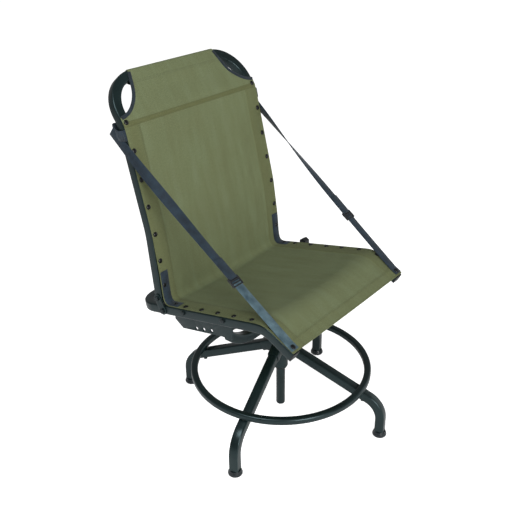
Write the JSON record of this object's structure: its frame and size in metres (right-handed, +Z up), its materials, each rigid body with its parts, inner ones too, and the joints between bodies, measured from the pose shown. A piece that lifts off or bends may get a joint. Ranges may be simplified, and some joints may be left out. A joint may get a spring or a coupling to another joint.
{
  "type": "swivel chair",
  "caption": "Hunting-blind chair: a fabric sling seat with a folding strapped back, turning on a height-adjustable post over a four-legged base with a footrest ring.",
  "frame": {"origin": "on the swivel axis, at the level of the floor the feet stand on", "axes": "+Z up along the swivel axis; the sitter faces -Y, with +X at the sitter's left hand; left and right in the node names are as seen by someone facing the chair, so left is -X"},
  "size_m": [0.6142, 0.6936, 0.9612],
  "materials": {
    "frame_paint": "satin powder coat, dark green-black",
    "dark_steel": "blackened steel",
    "bearing_steel": "bright steel",
    "black_plastic": "matt moulded plastic",
    "rubber": "matt rubber",
    "sling_fabric": "woven olive green fabric",
    "webbing": "woven blue-black webbing"
  },
  "bodies": {
    "base": {"hub": "frame_paint", "upper_post_bush": "black_plastic", "lower_post_bush": "black_plastic", "clamp_boss": "frame_paint", "footrest_ring": "frame_paint", "front_leg": "frame_paint", "front_foot": "rubber", "front_leg_bolt": "dark_steel", "front_ring_bolt": "dark_steel", "right_leg": "frame_paint", "right_foot": "rubber", "right_leg_bolt": "dark_steel", "right_ring_bolt": "dark_steel", "rear_leg": "frame_paint", "rear_foot": "rubber", "rear_leg_bolt": "dark_steel", "rear_ring_bolt": "dark_steel", "left_leg": "frame_paint", "left_foot": "rubber", "left_leg_bolt": "dark_steel", "left_ring_bolt": "dark_steel"},
    "height_clamp": {"height_clamp_knob": "black_plastic"},
    "post": {"post_tube": "frame_paint", "post_end_plug": "black_plastic", "lower_swivel_plate": "frame_paint", "bearing_ring": "bearing_steel"},
    "seat": {"upper_swivel_plate": "frame_paint", "king_bolt": "dark_steel", "king_nut": "dark_steel", "cross_tube": "frame_paint", "seat_frame": "frame_paint", "seat_sling": "sling_fabric", "left_bracket_plate": "frame_paint", "left_rail_end_cap": "black_plastic", "left_outer_pivot_plate": "frame_paint", "left_inner_pivot_plate": "frame_paint", "left_pivot_bolt": "dark_steel", "left_plate_bolt": "dark_steel", "left_front_rail_bolt": "dark_steel", "left_strap": "webbing", "left_buckle": "black_plastic", "right_bracket_plate": "frame_paint", "right_rail_end_cap": "black_plastic", "right_outer_pivot_plate": "frame_paint", "right_inner_pivot_plate": "frame_paint", "right_pivot_bolt": "dark_steel", "right_plate_bolt": "dark_steel", "right_front_rail_bolt": "dark_steel", "right_strap": "webbing", "right_buckle": "black_plastic", "left_rear_rail_bolt": "dark_steel"},
    "rail_knob": {"right_rear_rail_knob": "black_plastic"},
    "back": {"back_frame": "frame_paint", "back_sling": "sling_fabric", "left_strap_loop": "webbing", "right_strap_loop": "webbing"}
  },
  "joints": [
    {"name": "post_height", "type": "slide", "parent": "base", "child": "post", "axis": [0, 0, 1], "range_m": [-0.008, 0.1]},
    {"name": "height_clamp_turn", "type": "hinge", "parent": "base", "child": "height_clamp", "pos_m": [0.02, 0.03464, 0.186], "axis": [0.5, 0.866, 0], "continuous": true},
    {"name": "seat_swivel", "type": "hinge", "parent": "post", "child": "seat", "pos_m": [0, 0, 0.3], "axis": [0, 0, 1], "continuous": true},
    {"name": "rail_knob_turn", "type": "hinge", "parent": "seat", "child": "rail_knob", "pos_m": [0.25, 0.126, 0.391], "axis": [1, 0, 0], "continuous": true},
    {"name": "back_fold", "type": "hinge", "parent": "seat", "child": "back", "pos_m": [0, 0.216, 0.402], "axis": [1, 0, 0], "range_deg": [0, 80], "deforming": ["left_strap", "right_strap", "left_buckle", "right_buckle"]}
  ]
}
